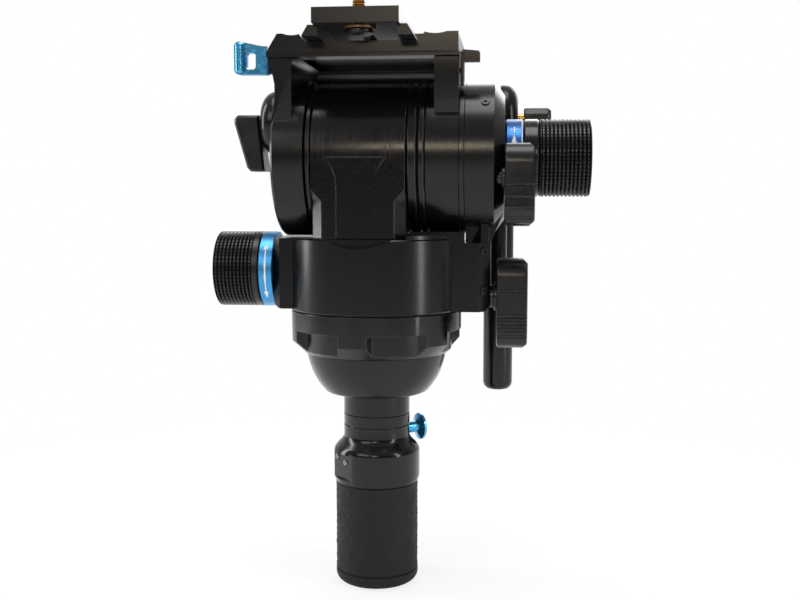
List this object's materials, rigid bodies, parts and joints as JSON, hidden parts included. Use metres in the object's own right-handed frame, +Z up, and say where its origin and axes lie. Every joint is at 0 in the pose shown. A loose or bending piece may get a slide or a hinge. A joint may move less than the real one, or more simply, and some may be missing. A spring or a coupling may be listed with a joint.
{
  "type": "fluid video tripod head",
  "caption": "Fluid video head with a half ball base, pan and tilt drags, wing lock knobs, a sliding camera plate, a folded pan bar and a tie-down grip.",
  "frame": {"origin": "centre of the half ball, which is the centre of the bowl that holds it", "axes": "+Z up along the pan axis towards the camera plate, -Y towards the front edge of the plate, +X towards the tilt drag knob; the tilt axis is parallel to X"},
  "size_m": [0.1951, 0.1355, 0.3046],
  "materials": {
    "anodised": "satin black anodised aluminium",
    "satin": "satin black coated aluminium",
    "knob": "moulded black",
    "grip_rubber": "embossed rubber",
    "sky_blue": "light blue anodised",
    "brass": "turned brass",
    "steel": "machined steel",
    "bronze": "plain bronze",
    "polymer": "friction polymer"
  },
  "bodies": {
    "bowl_base": {"half_ball": "anodised", "base_ring": "anodised", "tie_stud": "steel", "neck_stub": "anodised", "pan_spindle": "steel", "pan_bearing": "steel"},
    "clamp_sleeve": {"clamp_collar": "satin"},
    "release_pin": {"safety_pin": "sky_blue"},
    "grip": {"tie_grip": "grip_rubber", "grip_core": "steel"},
    "pan_body": {"pan_drag_disc": "bronze", "pan_housing": "anodised", "pan_drag_ring": "sky_blue", "pan_brake_pad": "polymer", "tilt_drum": "satin", "drum_ring_left": "anodised", "drum_ring_inner": "anodised", "drum_ring_outer": "anodised", "tilt_bearing_left": "steel", "tilt_bearing_right": "steel", "counterbalance_spring": "steel", "tilt_brake_ring": "polymer", "cap_housing": "anodised", "tilt_drag_cartridge": "bronze", "tilt_drag_ring": "sky_blue", "tilt_drag_collar": "anodised", "tilt_brake_pad": "polymer"},
    "pan_drag": {"pan_drag_knob": "knob"},
    "pan_lock": {"pan_lock_knob": "knob"},
    "tilt_drag": {"tilt_drag_knob": "knob"},
    "tilt_lock": {"tilt_lock_knob": "knob"},
    "cradle": {"left_cheek": "anodised", "right_cheek": "anodised", "tilt_axle": "steel", "platform": "anodised", "left_rosette": "anodised", "right_rosette": "anodised", "lever_pin": "steel"},
    "left_wing": {"left_wing_knob": "knob"},
    "bar": {"bar_clamp": "anodised", "pan_bar": "satin"},
    "bar_screw": {"clamp_stud": "brass", "clamp_knob": "knob"},
    "plate": {"camera_plate": "satin"},
    "washer": {"screw_washer": "bronze"},
    "screw": {"camera_screw": "brass"},
    "jaw": {"sliding_jaw": "satin"},
    "lever": {"release_lever": "sky_blue"},
    "catch": {"safety_lever": "satin"}
  },
  "joints": [
    {"name": "pan", "type": "hinge", "parent": "bowl_base", "child": "pan_body", "pos_m": [0, 0, 0.02], "axis": [0, 0, 1], "continuous": true},
    {"name": "tilt", "type": "hinge", "parent": "pan_body", "child": "cradle", "pos_m": [0, 0, 0.0975], "axis": [1, 0, 0], "range_deg": [-14, 90]},
    {"name": "pan_drag_turn", "type": "hinge", "parent": "pan_body", "child": "pan_drag", "pos_m": [-0.0633, 0, 0.039], "axis": [1, 0, 0], "range_deg": [-150, 150]},
    {"name": "tilt_drag_turn", "type": "hinge", "parent": "pan_body", "child": "tilt_drag", "pos_m": [0.0853, 0, 0.0975], "axis": [1, 0, 0], "range_deg": [-150, 150]},
    {"name": "pan_lock_turn", "type": "hinge", "parent": "pan_body", "child": "pan_lock", "pos_m": [0.0633, -0.008, 0.026], "axis": [1, 0, 0], "range_deg": [0, 110]},
    {"name": "tilt_lock_turn", "type": "hinge", "parent": "pan_body", "child": "tilt_lock", "pos_m": [0.068, -0.031, 0.087], "axis": [1, 0, 0], "range_deg": [-8, 40]},
    {"name": "left_wing_turn", "type": "hinge", "parent": "cradle", "child": "left_wing", "pos_m": [-0.0687, 0.03, 0.118], "axis": [1, 0, 0], "range_deg": [-180, 180]},
    {"name": "bar_swing", "type": "hinge", "parent": "cradle", "child": "bar", "pos_m": [0.0647, 0.058, 0.122], "axis": [1, 0, 0], "range_deg": [0, 150]},
    {"name": "bar_screw_turn", "type": "hinge", "parent": "cradle", "child": "bar_screw", "pos_m": [0.078, 0.058, 0.122], "axis": [1, 0, 0], "range_deg": [0, 720]},
    {"name": "plate_slide", "type": "slide", "parent": "cradle", "child": "plate", "axis": [0, 1, 0], "range_m": [-0.025, 0.025]},
    {"name": "washer_slide", "type": "slide", "parent": "plate", "child": "washer", "axis": [0, 1, 0], "range_m": [-0.004, 0.07]},
    {"name": "screw_turn", "type": "hinge", "parent": "washer", "child": "screw", "pos_m": [-0.0025, -0.046, 0.158], "axis": [0, 0, 1], "continuous": true},
    {"name": "lever_swing", "type": "hinge", "parent": "cradle", "child": "lever", "pos_m": [-0.0546, -0.02, 0.1495], "axis": [0, 0, -1], "range_deg": [0, 75]},
    {"name": "jaw_slide", "type": "slide", "parent": "cradle", "child": "jaw", "axis": [-1, 0, 0], "range_m": [0, 0.0015]},
    {"name": "catch_turn", "type": "hinge", "parent": "cradle", "child": "catch", "pos_m": [0.0453, -0.022, 0.1405], "axis": [1, 0, 0], "range_deg": [0, 10], "stiffness_Nm_per_rad": 0.05, "springref_deg": -2.86},
    {"name": "collar_slide", "type": "slide", "parent": "bowl_base", "child": "clamp_sleeve", "axis": [0, 0, -1], "range_m": [0, 0.00525]},
    {"name": "grip_turn", "type": "hinge", "parent": "clamp_sleeve", "child": "grip", "pos_m": [0, 0, -0.1], "axis": [0, 0, -1], "range_deg": [0, 1080]},
    {"name": "pin_pull", "type": "slide", "parent": "clamp_sleeve", "child": "release_pin", "axis": [0.848, 0.5299, 0], "range_m": [0, 0.004], "stiffness_N_per_m": 400, "springref_m": -0.004}
  ],
  "couplings": [
    {"joint": "grip_turn", "follows": "collar_slide", "rad_per_m": 3590},
    {"joint": "lever_swing", "follows": "jaw_slide", "rad_per_m": 872}
  ]
}
